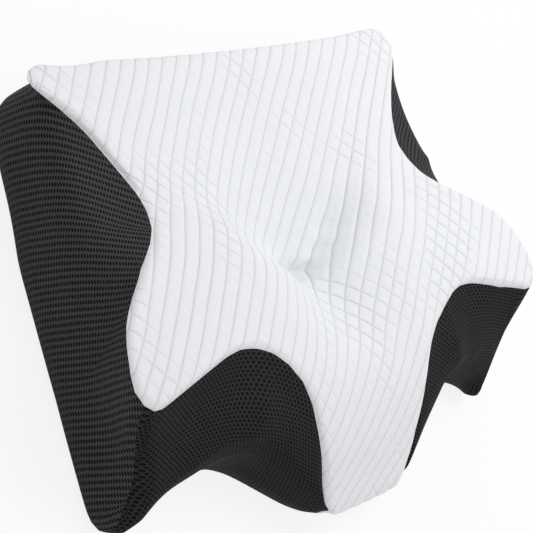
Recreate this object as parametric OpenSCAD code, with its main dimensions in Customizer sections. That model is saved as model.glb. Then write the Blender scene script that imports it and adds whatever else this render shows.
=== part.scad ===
// Butterfly-shaped contoured neck pillow: a moulded memory-foam core in a thin liner, inside a zipped
// cover with a quilted top panel and mesh sides. X runs from wing to wing, -Y points to the front lobe,
// +Z is up, and the middle of the resting base is at the origin.

/* [Base outline] */
// Distance from the middle line to the straight back wall
back_y = 165; // [150:1:185]
// Half width of the base at the back corners
base_back_x = 208; // [200:1:225]
// Radius of the flat underside at the back corners
base_back_r = 10; // [4:1:24]
// Half width of the base at the waist
base_waist_x = 251; // [244:1:266]
// Position of the base's waist towards the back
base_waist_y = 45; // [20:1:60]
// Radius of the flat underside at the waist
base_waist_r = 105; // [80:5:125]
// Half width of the base beside the wings
base_side_x = 267; // [260:1:278]
// Position of the base's side bulge towards the back
base_side_y = -54; // [-70:1:-35]
// Radius of the flat underside beside the wings
base_side_r = 83; // [50:5:100]
// Half width of the base at the wings' front corners
base_wing_x = 289; // [288:1:310]
// Position of the base's wing corners towards the back
base_wing_y = -161; // [-175:1:-150]
// Radius of the flat underside at the wings' front corners
base_wing_r = 3; // [2:1:14]
// Half distance between the deepest points of the base's two front notches
base_notch_x = 150; // [138:1:158]
// Position of the base's front notches towards the back
base_notch_y = -128; // [-138:1:-116]
// Radius added to the bottom rounding in the front notches
base_notch_r = 80; // [50:2:100]
// Half width of the base at the lobe's corners
base_lobe_x = 56; // [50:1:68]
// Position of the base's lobe corners towards the back
base_lobe_y = -199; // [-208:1:-190]
// Radius of the flat underside at the lobe's corners
base_lobe_r = 8; // [2:1:12]

/* [Top seam outline] */
// Half width of the top at the back corners
top_back_x = 240; // [234:1:258]
// Corner radius of the top at the back corners
top_back_r = 16; // [8:1:30]
// Half width of the top at the waist
top_waist_x = 168; // [155:1:180]
// Position of the top's waist towards the back
top_waist_y = 42; // [30:1:55]
// Corner radius of the top's waist
top_waist_r = 39; // [25:1:55]
// Half width of the top beside the wings
top_side_x = 276; // [272:1:292]
// Position of the wings' outermost point towards the back
top_side_y = -30; // [-45:1:-20]
// Corner radius of the top beside the wings
top_side_r = 70; // [50:1:85]
// Half width of the top at the wings' front corners
top_wing_x = 299; // [288:1:306]
// Position of the top's wing corners towards the back
top_wing_y = -100; // [-112:1:-94]
// Corner radius of the top at the wings' front corners
top_wing_r = 28; // [16:1:36]
// Half distance between the deepest points of the top's two front notches
top_notch_x = 109; // [98:1:120]
// Position of the top's front notches towards the back
top_notch_y = -55; // [-66:1:-46]
// Corner radius of the top's front notches
top_notch_r = 78; // [55:1:90]
// Half width of the top at the lobe's corners
top_lobe_x = 58; // [52:1:66]
// Position of the lobe's tip towards the back
top_lobe_y = -205; // [-216:1:-200]
// Corner radius of the top at the lobe's corners
top_lobe_r = 28; // [12:1:30]

/* [Walls and edges] */
// Radius of the rounding between the walls and the underside
base_round = 17; // [12:1:22]
// Height up to which the wall stands upright at the back corners
fold_back = 62; // [50:1:68]
// Height up to which the wall stands upright at the waist
fold_waist = 75; // [60:1:80]
// Height up to which the wall stands upright beside the wings
fold_side = 38; // [28:1:50]
// Height up to which the wall stands upright at the wings' front corners
fold_wing = 20; // [18:1:36]
// Height up to which the wall stands upright in the front notches
fold_notch = 79; // [60:1:84]
// Height up to which the wall stands upright at the lobe's corners
fold_lobe = 22; // [18:1:26]
// Width of the rolled edge round the top
roll_width = 37; // [28:1:44]
// How far the rolled edge drops at its seam
roll_drop = 8.5; // [4:1:14]
// How far the rolled edge drops at the lobe's tip
tip_drop = 10; // [6:1:16]

/* [Top surface] */
// Position of the head cradle's deepest point towards the back
cradle_y = -9; // [-20:1:0]
// Positions behind it at which the trough's height is set
trough_y = [40, 110]; // [0:1:150]
// Height of the trough's middle at the cradle, at these positions and at the back wall
trough_z = [47, 57, 64, 71]; // [40:1:90]
// How far the trough's sides rise at the cradle, at the waist and at the back wall
side_rise = [30, 19, 15]; // [5:1:45]
// Distance from the middle line over which they rise
side_spread = [90, 105, 190]; // [60:1:240]
// Positions from the lobe's tip towards the cradle at which the lobe's height is set
lobe_y = [-150, -100, -50]; // [-200:1:-30]
// Height of the lobe's middle at its tip, at these positions and at the cradle
lobe_z = [36, 69, 85, 87, 84]; // [25:1:95]
// Distances from the middle line at which the wings' height is set
wing_x = [0, 100, 200, 290]; // [0:1:300]
// Height of the wings at these distances
wing_z = [88, 94, 95, 98]; // [70:1:110]
// Distance from the middle line over which the lobe's top blends into the wings
shoulder_spread = 130; // [90:1:160]
// Positions in front of which the wings have no part in the lobe, and behind which they have all of it
shoulder_y = [-150, -50]; // [-180:1:-30]
// Distances from the middle line at which the edge between the trough and the wings is set
edge_x = [0, 50, 100]; // [0:1:150]
// Position of that edge at these distances and at the waist
edge_y = [-26, -10, 14, 32]; // [-40:1:60]
// Half width of the slope along that edge
edge_spread = [17, 20, 36, 60]; // [10:1:80]

/* [Fabric and foam] */
// Thickness of the cover fabric
cover_thick = 1.6; // [1:0.1:2.4]
// Thickness of the inner liner
liner_thick = 0.8; // [0.5:0.1:1.2]
// Gap between neighbouring soft layers
soft_gap = 0.25; // [0.2:0.05:0.4]

/* [Zip] */
// Width of each zip tape
tape_width = 13; // [10:0.5:14]
// Thickness of the zip tape
tape_thick = 0.4; // [0.3:0.1:0.6]
// Distance of each tape's inner edge from the middle of the chain
tape_edge = 1.5; // [1.3:0.1:1.8]
// Length of tape past each end of the chain
tape_tail = 8; // [6:0.5:12]
// Gap between a tape's end and the corner where the back wall starts to curve
tape_end_gap = 2; // [1:0.5:5]
// Spacing of the teeth along one side of the chain
tooth_pitch = 2; // [1.9:0.1:3]
// Distance from the middle of the chain to a tooth's root
tooth_root = 2.5; // [2.2:0.1:3]
// How far a tooth's head reaches past the middle of the chain
tooth_reach = 0.35; // [0.2:0.05:0.45]
// Width of a tooth's neck along the chain
tooth_neck = 0.6; // [0.4:0.05:0.7]
// Height of a tooth above the tape
tooth_height = 2; // [1.5:0.1:2.5]
// Clearance between the heads of meshed teeth
mesh_gap = 0.1; // [0.05:0.01:0.2]
// Length of the slider
slider_length = 11; // [9:0.5:14]
// Thickness of the slider's two plates
plate_thick = 1.2; // [0.8:0.1:1.6]
// Thickness of the slider's side flanges
flange_thick = 0.7; // [0.5:0.1:1]
// How far the slider parts the teeth at its front
splay = 1.8; // [1.6:0.1:2.2]
// Clearance round everything that slides or turns
slide_gap = 0.25; // [0.15:0.05:0.35]
// Outer radius of the slider's bridge
bridge_r = 3.4; // [3.2:0.1:4]
// Thickness of the slider's bridge
bridge_thick = 1.2; // [0.8:0.1:1.3]
// Width of the slider's bridge
bridge_width = 2.4; // [1.6:0.1:3]
// Radius of the pull tab's pin
pin_r = 0.7; // [0.5:0.05:0.75]
// Length of the pull tab from its pin
pull_length = 26; // [18:1:36]
// Width of the pull tab
pull_width = 7; // [6:0.5:10]
// Thickness of the pull tab
pull_thick = 1.2; // [0.8:0.1:1.3]
// Width of the pull tab's two arms
arm_width = 1.2; // [0.8:0.1:1.5]
// Radius of the hole in the pull tab
pull_hole_r = 1.3; // [0.8:0.1:1.8]
// Length of the stops at the chain's ends
stop_length = 3; // [2:0.5:5]

/* [Hidden] */
$fn = 48;

// ---- how the layers lie on each other, as depths below the cover's outer surface ----
tape_depth = cover_thick + soft_gap;
liner_depth = tape_depth + tape_thick + soft_gap;
core_depth = liner_depth + liner_thick + soft_gap;
// extra room behind the zip for the slider's inner plate
zip_room = plate_thick + 2 * slide_gap - soft_gap;

// ---- outlines: corners of the right half from back to front, [x, y, radius] ----
base_corners = [
    [base_back_x, back_y, base_back_r + base_round],
    [base_waist_x, base_waist_y, base_waist_r + base_round],
    [base_side_x, base_side_y, base_side_r + base_round],
    [base_wing_x, base_wing_y, base_wing_r + base_round],
    [base_notch_x, base_notch_y, base_notch_r + base_round],
    [base_lobe_x, base_lobe_y, base_lobe_r + base_round]];
top_corners = [
    [top_back_x, back_y, top_back_r],
    [top_waist_x, top_waist_y, top_waist_r],
    [top_side_x, top_side_y, top_side_r],
    [top_wing_x, top_wing_y, top_wing_r],
    [top_notch_x, top_notch_y, top_notch_r],
    [top_lobe_x, top_lobe_y, top_lobe_r]];
half = len(base_corners);
corner_count = 2 * half;
back_corner = 0;
wing_corner = 3;
lobe_corner = 5;

function reversed(v) = [for (i = [len(v) - 1:-1:0]) v[i]];
function unit(v) = v / norm(v);
function lerp(a, b, t) = a * (1 - t) + b * t;
function total(v, n) = n == 0 ? 0 : v[n - 1] + total(v, n - 1);
function both_sides(v) = concat(v, reversed(v));
function mirrored(corners) = concat(corners, [for (c = reversed(corners)) [-c[0], c[1], c[2]]]);

// points round each corner, and between it and the next one; odd counts give a panel seam its middle
arc_steps = both_sides([5, 5, 5, 5, 7, 5]);
span_steps = concat([2, 1, 1, 1, 1], [2], [1, 1, 1, 1, 2], [8]);
columns = total(arc_steps, corner_count) + total(span_steps, corner_count);
function first_column(corner) = total(arc_steps, corner) + total(span_steps, corner);
function last_column(corner) = first_column(corner) + arc_steps[corner] - 1;
function middle_column(corner) = first_column(corner) + (arc_steps[corner] - 1) / 2;

function corner_arc(corners, i) =
    let (a = corners[(i + corner_count - 1) % corner_count], b = corners[i],
         c = corners[(i + 1) % corner_count],
         here = [b[0], b[1]],
         back = unit([a[0], a[1]] - here),
         ahead = unit([c[0], c[1]] - here),
         half_angle = acos(back * ahead) / 2,
         room = 0.48 * min(norm([a[0], a[1]] - here), norm([c[0], c[1]] - here)),
         reach = min(b[2] / tan(half_angle), room),
         radius = reach * tan(half_angle),
         middle = here + unit(back + ahead) * radius / sin(half_angle),
         from = here + back * reach - middle,
         to = here + ahead * reach - middle,
         start = atan2(from[1], from[0]),
         sweep = atan2(from[0] * to[1] - from[1] * to[0], from * to),
         steps = arc_steps[i] - 1)
    [for (k = [0:steps]) middle + radius * [cos(start + sweep * k / steps), sin(start + sweep * k / steps)]];

function outline(half_corners) =
    let (corners = mirrored(half_corners))
    [for (i = [0:corner_count - 1])
        let (arc = corner_arc(corners, i), next = corner_arc(corners, (i + 1) % corner_count))
        each concat(arc, [for (k = [1:span_steps[i]])
            lerp(arc[len(arc) - 1], next[0], k / (span_steps[i] + 1))])];

base_ring = outline(base_corners);
top_ring = outline(top_corners);

// where each column stands, counted in corners, so that a value given at the corners can be blended
arc_share = 0.25;
column_place = [for (i = [0:corner_count - 1])
    each concat([for (k = [0:arc_steps[i] - 1]) i + arc_share * (2 * k / (arc_steps[i] - 1) - 1)],
                [for (k = [1:span_steps[i]])
                    i + arc_share + (1 - 2 * arc_share) * k / (span_steps[i] + 1)])];
function blended_between(v, column) =
    let (place = column_place[column])
    lookup(place < 0 ? place + corner_count : place, [for (i = [0:corner_count]) [i, v[i % corner_count]]]);
function blended(half_values, column) = blended_between(both_sides(half_values), column);

// ---- smooth curves through named points ----
function slope(p, i) = (p[i + 1][1] - p[i][1]) / (p[i + 1][0] - p[i][0]);
function tangent(p, i) =
    i == 0 || i == len(p) - 1 ? 0 :
    let (a = slope(p, i - 1), b = slope(p, i)) a * b <= 0 ? 0 : 2 * a * b / (a + b);
// a curve through points in ascending order that never overshoots them
function through(p, t) =
    t <= p[0][0] ? p[0][1] :
    t >= p[len(p) - 1][0] ? p[len(p) - 1][1] :
    let (i = max([for (k = [0:len(p) - 2]) if (p[k][0] <= t) k]),
         h = p[i + 1][0] - p[i][0], u = (t - p[i][0]) / h)
    (2 * u * u * u - 3 * u * u + 1) * p[i][1] + (u * u * u - 2 * u * u + u) * h * tangent(p, i)
    + (3 * u * u - 2 * u * u * u) * p[i + 1][1] + (u * u * u - u * u) * h * tangent(p, i + 1);
// pairs two lists into points for through()
function points(places, values) = [for (i = [0:len(places) - 1]) [places[i], values[i]]];
function eased(t) = let (u = max(0, min(1, t))) u * u * (3 - 2 * u);

// ---- the top surface: the trough behind, the wings and lobe in front, and a slope between them ----
trough = points([cradle_y, trough_y[0], trough_y[1], back_y], trough_z);
rise = points([cradle_y, top_waist_y, back_y], side_rise);
spread = points([cradle_y, top_waist_y, back_y], side_spread);
lobe = points([top_lobe_y, lobe_y[0], lobe_y[1], lobe_y[2], cradle_y], lobe_z);
wings = points(wing_x, wing_z);
edge = points([edge_x[0], edge_x[1], edge_x[2], top_waist_x], edge_y);
slope_half = points([edge_x[0], edge_x[1], edge_x[2], top_waist_x], edge_spread);
function trough_height(x, y) =
    through(trough, y) + through(rise, y) * (1 - exp(-pow(x / through(spread, y), 2)));
function front_height(x, y) =
    let (share = eased(abs(x) / shoulder_spread) * eased((y - shoulder_y[0]) / (shoulder_y[1] - shoulder_y[0])))
    lerp(through(lobe, y), through(wings, abs(x)), share);
function top_height(x, y) =
    let (ahead = (through(edge, abs(x)) - y) / through(slope_half, abs(x)))
    lerp(trough_height(x, y), front_height(x, y), eased((ahead + 1) / 2));

// ---- the grid of the whole outer surface: rings from a spine outwards, then down to the floor ----
spine_steps = 16;
spine_half = 1.2 * edge_x[2];
// the spine follows the middle of the slope between the trough and the wings
spine = [for (k = [-spine_steps:spine_steps])
    let (x = k * spine_half / spine_steps, y = through(edge, abs(x)))
    [x, y, top_height(x, y)]];
// the point of the spine that each column starts from, stepping from one end to the other and back; the
// waist lies straight ahead of the spine's end, so the columns round it all start from that end
spine_roots = [10, 18, 16, 16, 10, 3];
roots = [for (c = [0:columns - 1])
    let (k = round(blended_between(concat(spine_roots, -reversed(spine_roots)), c)))
    spine_steps + max(-spine_steps, min(spine_steps, k))];
inner_rings = [0.1, 0.22, 0.36, 0.52, 0.68, 0.84, 1];
roll_rings = 3;
roll_angle = 80;
wall_steps = [0.75, 0.5, 0.25];
round_steps = 2;
seam_level = len(inner_rings) + roll_rings - 1;
window_top = seam_level + 2;
window_bottom = window_top + 1;
upright_level = seam_level + len(wall_steps) + 1;
floor_level = upright_level + round_steps;

function roll_amount(column) =
    blended([roll_drop, roll_drop, roll_drop, roll_drop, roll_drop, tip_drop], column);
function root(column) = [spine[roots[column]][0], spine[roots[column]][1]];
// the roll takes at most this share of the way from the spine
roll_share = 0.6;
function inner_share(column) = 1 - min(roll_share, roll_width / norm(top_ring[column] - root(column)));
function on_top(share, drop, column) =
    let (p = lerp(root(column), top_ring[column], share))
    [p[0], p[1], top_height(p[0], p[1]) - drop];
function top_point(level, column) =
    level < len(inner_rings) ? on_top(inner_share(column) * inner_rings[level], 0, column) :
    let (angle = roll_angle * (level - len(inner_rings) + 1) / roll_rings, inner = inner_share(column))
    on_top(inner + (1 - inner) * sin(angle) / sin(roll_angle),
           roll_amount(column) * (1 - cos(angle)), column);

// the straight stretch of the back wall between its two corners holds the zip window
function on_straight_back(column) = column == 0 || column >= last_column(corner_count - 1);
window_edge = tooth_root + splay + slide_gap + flange_thick + soft_gap;
zip_z = base_round + tape_width + 2 * soft_gap;
function back_height(level) =
    let (seam_z = top_point(seam_level, 0)[2])
    level == window_top ? zip_z + window_edge :
    level == window_bottom ? zip_z - window_edge :
    level < window_top ? (seam_z + zip_z + window_edge) / 2 : (base_round + zip_z - window_edge) / 2;
function wall_point(level, column) =
    let (t = wall_steps[level - seam_level - 1], seam = top_point(seam_level, column),
         foot = [base_ring[column][0], base_ring[column][1], base_round],
         fold = [foot[0], foot[1], blended([fold_back, fold_waist, fold_side, fold_wing, fold_notch,
                                            fold_lobe], column)],
         p = pow(1 - t, 3) * foot + 3 * (1 - t) * t * fold + t * t * t * seam)
    on_straight_back(column) ? [p[0], back_y, back_height(level)] : p;
function outward(column) =
    let (d = unit(base_ring[(column + 1) % columns] - base_ring[(column + columns - 1) % columns]))
    [-d[1], d[0]];
function foot_point(level, column) =
    let (angle = 90 * (level - upright_level) / round_steps,
         p = base_ring[column] - outward(column) * base_round * (1 - cos(angle)))
    [p[0], p[1], base_round * (1 - sin(angle))];

grid = [for (level = [0:floor_level]) [for (column = [0:columns - 1])
    level <= seam_level ? top_point(level, column) :
    level < upright_level ? wall_point(level, column) : foot_point(level, column)]];
// the direction straight out of the top's surface, from its height on both sides of a point
probe = 0.5;
function top_normal(p) =
    unit([top_height(p[0] - probe, p[1]) - top_height(p[0] + probe, p[1]),
          top_height(p[0], p[1] - probe) - top_height(p[0], p[1] + probe), 2 * probe]);
function normal(level, column) =
    level == floor_level ? [0, 0, -1] :
    level < len(inner_rings) - 1 ? top_normal(grid[level][column]) :
    let (above = grid[level - 1][column],
         below = grid[level + 1][column],
         left = grid[level][(column + columns - 1) % columns],
         right = grid[level][(column + 1) % columns])
    unit(cross(right - left, below - above));
normals = [for (level = [0:floor_level]) [for (column = [0:columns - 1]) normal(level, column)]];

// the whole surface moved inwards by a depth, with the zip's extra room behind the window
function room_at(depth, level, column) =
    depth > cover_thick && on_straight_back(column) && (level == window_top || level == window_bottom)
    ? zip_room : 0;
function layer(depth) = concat(
    [for (level = [0:floor_level], column = [0:columns - 1])
        grid[level][column] - normals[level][column] * (depth + room_at(depth, level, column))],
    [for (p = spine) p - top_normal(p) * depth],
    [[0, edge_y[0], depth]]);
first_root = (floor_level + 1) * columns;
floor_hub = first_root + len(spine);
layer_size = floor_hub + 1;
function at(level, column) = level * columns + (column + columns) % columns;

// triangles of a layer: from the spine to the first ring, round the floor's hub, and in one grid cell
top_fan = [for (c = [0:columns - 1])
    let (a = roots[c], b = roots[(c + 1) % columns], step = b > a ? 1 : -1)
    each concat([[first_root + a, at(0, c), at(0, c + 1)]],
                a == b ? [] : [for (k = [a:step:b - step]) [first_root + k, at(0, c + 1), first_root + k + step]])];
floor_fan = [for (c = [0:columns - 1]) [floor_hub, at(floor_level, c + 1), at(floor_level, c)]];
function cell_faces(l, c) =
    [[at(l, c), at(l + 1, c), at(l + 1, c + 1)], [at(l, c), at(l + 1, c + 1), at(l, c + 1)]];

// ---- solids on the grid ----
module closed_body(depth) {
    polyhedron(layer(depth), concat(top_fan, floor_fan,
        [for (l = [0:floor_level - 1], c = [0:columns - 1]) each cell_faces(l, c)]), convexity = 10);
}

// the cut edge of a panel between two grid points; both neighbours split it along the same diagonal
function rim(p, q) =
    p < q ? [[q, p, q + layer_size], [p, p + layer_size, q + layer_size]]
          : [[q, p, p + layer_size], [q, p + layer_size, q + layer_size]];
function flipped(faces) = [for (f = faces) [for (i = reversed(f)) i + layer_size]];
// a sheet over the cells that covers(level, column) names, the cover's fabric unless told otherwise
module panel(covers, with_hub = false, with_floor = false, depth = 0, thick = cover_thick) {
    cells = [for (l = [0:floor_level - 1], c = [0:columns - 1]) if (covers(l, c)) [l, c]];
    skin = concat(with_hub ? top_fan : [], with_floor ? floor_fan : [],
        [for (cell = cells) each cell_faces(cell[0], cell[1])]);
    edges = [for (cell = cells) let (l = cell[0], c = cell[1]) each concat(
        covers(l, (c + columns - 1) % columns) ? [] : rim(at(l, c), at(l + 1, c)),
        (l == floor_level - 1 ? with_floor : covers(l + 1, c)) ? [] : rim(at(l + 1, c), at(l + 1, c + 1)),
        covers(l, (c + 1) % columns) ? [] : rim(at(l + 1, c + 1), at(l, c + 1)),
        (l == 0 ? with_hub : covers(l - 1, c)) ? [] : rim(at(l, c + 1), at(l, c)))];
    polyhedron(concat(layer(depth), layer(depth + thick)), concat(skin, flipped(skin), edges), convexity = 10);
}
function between(column, from, to) =
    (column - from + columns) % columns < (to - from + columns) % columns;
function twin(corner) = corner_count - 1 - corner;
function is_back(c) = between(c, last_column(twin(back_corner)), first_column(back_corner));
function is_tip(c) = between(c, middle_column(lobe_corner), middle_column(twin(lobe_corner)));
function is_window(l, c) = l == window_top && on_straight_back(c) && on_straight_back((c + 1) % columns);
function is_wall(l) = l >= seam_level && l < floor_level - 1;

module top_panel() {
    color([0.93, 0.93, 0.95])
    panel(function (l, c) l < seam_level || (is_tip(c) && is_wall(l))
          || (is_back(c) && l < window_bottom && !is_window(l, c)), with_hub = true);
}
module mesh_panel(from, to) {
    color([0.1, 0.1, 0.11])
    panel(function (l, c) is_wall(l) && between(c, from, to));
}
module side_panel_right() {
    mesh_panel(first_column(back_corner), middle_column(wing_corner));
}
module side_panel_left() {
    mesh_panel(middle_column(twin(wing_corner)), last_column(twin(back_corner)));
}
module front_panel_right() {
    mesh_panel(middle_column(wing_corner), middle_column(lobe_corner));
}
module front_panel_left() {
    mesh_panel(middle_column(twin(lobe_corner)), middle_column(twin(wing_corner)));
}
module back_facing() {
    color([0.1, 0.1, 0.11])
    panel(function (l, c) is_back(c) && l >= window_bottom && is_wall(l));
}
module base_panel() {
    color([0.12, 0.12, 0.13])
    panel(function (l, c) l == floor_level - 1, with_floor = true);
}
// the liner's own opening lies behind the zip
module inner_liner() {
    color([0.85, 0.85, 0.83])
    panel(function (l, c) !is_window(l, c), with_hub = true, with_floor = true,
          depth = liner_depth, thick = liner_thick);
}
module foam_core() {
    color([0.95, 0.93, 0.82])
    closed_body(core_depth);
}

// ---- the zip: it lies along X in the back wall, and the slider closes it towards +X ----
window_half = min(base_ring[0][0], top_ring[0][0]);
zip_half = window_half - tape_end_gap - tape_tail;
slider_x = zip_half - slider_length / 2;
// distances outwards from the back wall's outer face
tape_face = -tape_depth;
tooth_face = tape_face + tooth_height;
plate_face = tooth_face + slide_gap;
plate_top = plate_face + plate_thick;
inner_face = tape_face - tape_thick - slide_gap;
pin_out = plate_top + slide_gap + pin_r;

// how far the slider pushes a tooth off the middle, at a distance x from the slider's own middle
splay_start = -slider_length / 5;
function splay_at(x) =
    let (t = min(1, max(0, (x - splay_start) / (slider_length / 2 - splay_start))))
    splay * t * t * (3 - 2 * t);
function channel_half(x) = tooth_root + splay_at(x) + slide_gap;

module on_zip(x = 0, out = 0) {
    translate([x, back_y + out, zip_z]) children();
}
// stands a plan drawn in X and Z up against the wall, from one distance outwards to another
module standing(from, to) {
    translate([0, to, 0]) rotate([90, 0, 0]) linear_extrude(to - from) children();
}
module tape(side) {
    color([0.12, 0.12, 0.13])
    on_zip()
    standing(tape_face - tape_thick, tape_face)
    translate([-zip_half - tape_tail, side > 0 ? tape_edge : -tape_width])
    square([2 * (zip_half + tape_tail), tape_width - tape_edge]);
}
module tooth() {
    head = (tooth_pitch / 2 - mesh_gap) / 2;
    neck = tooth_neck / 2;
    polygon([[-neck, tooth_root], [-neck, tooth_reach + mesh_gap], [-head, tooth_reach], [-head, 0],
             [-head / 2, -tooth_reach], [head / 2, -tooth_reach], [head, 0], [head, tooth_reach],
             [neck, tooth_reach + mesh_gap], [neck, tooth_root]]);
}
module teeth(side) {
    shift = side > 0 ? 0.5 : 1;
    count = floor(2 * zip_half / tooth_pitch - shift);
    color([0.16, 0.16, 0.17])
    on_zip()
    for (k = [0:count - 1]) {
        x = -zip_half + (k + shift) * tooth_pitch;
        standing(tape_face, tooth_face)
        translate([x, side * splay_at(x - slider_x)])
        on_side(side)
        tooth();
    }
}
// flips a plan drawn for the upper side of the chain to the side asked for
module on_side(side) {
    mirror([0, side > 0 ? 0 : 1]) children();
}
module top_stops() {
    color([0.75, 0.75, 0.77])
    on_zip(zip_half + slide_gap)
    for (side = [-1, 1])
        standing(tape_face, tooth_face)
        on_side(side)
        translate([0, tape_edge])
        square([stop_length, tooth_root + splay - tape_edge]);
}
module bottom_stop() {
    color([0.75, 0.75, 0.77])
    on_zip(-zip_half - stop_length)
    standing(tape_face, tooth_face)
    translate([0, -tooth_root])
    square([stop_length, 2 * tooth_root]);
}

slider_steps = 10;
// the channel is drawn a little longer than the slider, so that it cuts clean through both ends
channel_overrun = 1.1;
function slider_edge(inset) = [for (k = [0:slider_steps])
    let (x = slider_length * (k / slider_steps - 0.5)) [x, channel_half(x) + flange_thick - inset]];
function slider_plan(inset) =
    concat(slider_edge(inset), [for (p = reversed(slider_edge(inset))) [p[0], -p[1]]]);
// the post that parts the teeth keeps clear of their heads
post_end = slider_length / 2 - flange_thick;
function post_edge() = [for (k = [0:slider_steps])
    let (x = lerp(splay_start, post_end, k / slider_steps), w = splay_at(x) - tooth_reach - slide_gap)
    if (w > slide_gap) [x, w]];
module slider() {
    color([0.7, 0.7, 0.72])
    on_zip(slider_x) {
        standing(plate_face, plate_top)
        polygon(slider_plan(0));
        standing(inner_face - plate_thick, inner_face)
        polygon(slider_plan(0));
        standing(tape_face + slide_gap, plate_face)
        difference() {
            polygon(slider_plan(0));
            scale([channel_overrun, 1])
            polygon(slider_plan(flange_thick));
        }
        standing(inner_face, plate_face)
        polygon(concat(post_edge(), [for (p = reversed(post_edge())) [p[0], -p[1]]]));
        bridge();
    }
}
module bridge() {
    foot = plate_thick / 4;
    translate([0, plate_top])
    linear_extrude(bridge_width, center = true)
    difference() {
        circle(r = bridge_r);
        circle(r = bridge_r - bridge_thick);
        translate([-2 * bridge_r, -foot - 2 * bridge_r])
        square([4 * bridge_r, 2 * bridge_r]);
    }
}
module pull() {
    inner = bridge_width / 2 + slide_gap;
    outer = inner + arm_width;
    reach = bridge_r + 3 * slide_gap;
    neck = reach + arm_width;
    color([0.7, 0.7, 0.72])
    on_zip(slider_x, pin_out) {
        standing(-pull_thick / 2, pull_thick / 2)
        difference() {
            union() {
                translate([-pull_thick / 2, -outer])
                square([neck + pull_thick / 2, 2 * outer]);
                translate([neck - arm_width / 2, -pull_width / 2])
                square([pull_length - pull_width / 2 - neck + arm_width / 2, pull_width]);
                translate([pull_length - pull_width / 2, 0])
                circle(r = pull_width / 2);
            }
            translate([-2 * pin_r, -inner])
            square([reach + 2 * pin_r, 2 * inner]);
            translate([pull_length - pull_width / 2, 0])
            circle(r = pull_hole_r);
        }
        cylinder(r = pin_r, h = 2 * outer, center = true);
    }
}

// ---- the nodes, moved so that the middle of the resting part is at the origin ----
front_end = min([for (p = concat(base_ring, top_ring)) p[1]]);
back_end = back_y + plate_top + bridge_r;
frame_y = -(front_end + back_end) / 2;

module centred() {
    translate([0, frame_y, 0]) children();
}
centred() foam_core();
centred() inner_liner();
centred() top_panel();
centred() side_panel_right();
centred() side_panel_left();
centred() front_panel_right();
centred() front_panel_left();
centred() back_facing();
centred() base_panel();
centred() tape(1);  // zip_tape_upper
centred() tape(-1);  // zip_tape_lower
centred() teeth(1);  // zip_teeth_upper
centred() teeth(-1);  // zip_teeth_lower
centred() top_stops();  // zip_top_stops
centred() bottom_stop();  // zip_bottom_stop
centred() slider();  // zip_slider
centred() pull();  // zip_pull
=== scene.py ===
# The looks of a butterfly-shaped contoured neck pillow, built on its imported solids: a quilted white top, black
# spacer-mesh walls, a plain base and a zip in the back wall, on a pale floor under soft studio light.

import math

import bmesh
import bpy
import numpy as np
from mathutils import Matrix, Vector, noise
from mathutils.bvhtree import BVHTree
from mathutils.kdtree import KDTree


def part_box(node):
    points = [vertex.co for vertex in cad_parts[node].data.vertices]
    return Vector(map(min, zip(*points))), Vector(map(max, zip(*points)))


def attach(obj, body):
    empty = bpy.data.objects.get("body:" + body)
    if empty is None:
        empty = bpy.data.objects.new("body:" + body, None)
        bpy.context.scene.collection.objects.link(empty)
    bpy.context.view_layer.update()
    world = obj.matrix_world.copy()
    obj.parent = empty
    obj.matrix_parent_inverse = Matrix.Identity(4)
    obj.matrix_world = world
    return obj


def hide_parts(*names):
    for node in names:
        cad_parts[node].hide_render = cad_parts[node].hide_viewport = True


bl_info = {
    "name": "Contoured Neck Pillow",
    "version": (1, 0, 0),
    "blender": (4, 5, 0),
    "location": "3D View > Sidebar > Pillow",
    "description": "Dresses the packed solids of a contoured neck pillow",
    "category": "Object",
}

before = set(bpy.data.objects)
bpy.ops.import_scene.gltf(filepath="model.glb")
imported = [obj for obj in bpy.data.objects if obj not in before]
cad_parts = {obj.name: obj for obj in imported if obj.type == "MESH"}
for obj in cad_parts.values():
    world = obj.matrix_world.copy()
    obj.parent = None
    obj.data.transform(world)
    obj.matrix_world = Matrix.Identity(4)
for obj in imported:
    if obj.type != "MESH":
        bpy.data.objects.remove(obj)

TOP = "top_panel"
SIDES = ["side_panel_right", "side_panel_left"]
FRONTS = ["front_panel_right", "front_panel_left"]
BACK = "back_facing"
BASE = "base_panel"
PANELS = [TOP, *SIDES, *FRONTS, BACK, BASE]

# how the foam has settled: hollows and swellings of the top, each a place, its reach and its height
WELLS = (
    ((0, -0.022), (0.042, 0.020), -0.017),
    ((0, -0.050), (0.042, 0.024), -0.010),
    ((-0.004, -0.004), (0.018, 0.014), -0.005),
    ((-0.105, 0.040), (0.028, 0.024), 0.005),
    ((0.105, 0.040), (0.028, 0.024), 0.005),
)
# small folds of the cloth, at the bottom of the hollow and up its right side: a place, its reach and its depth
PINCHES = (
    ((-0.006, -0.002), (0.015, 0.008), 0.013),
    ((0.016, -0.001), (0.013, 0.006), 0.009),
    ((0.037, 0.009), (0.013, 0.007), 0.006),
    ((0.055, 0.025), (0.013, 0.008), 0.003),
)
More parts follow.
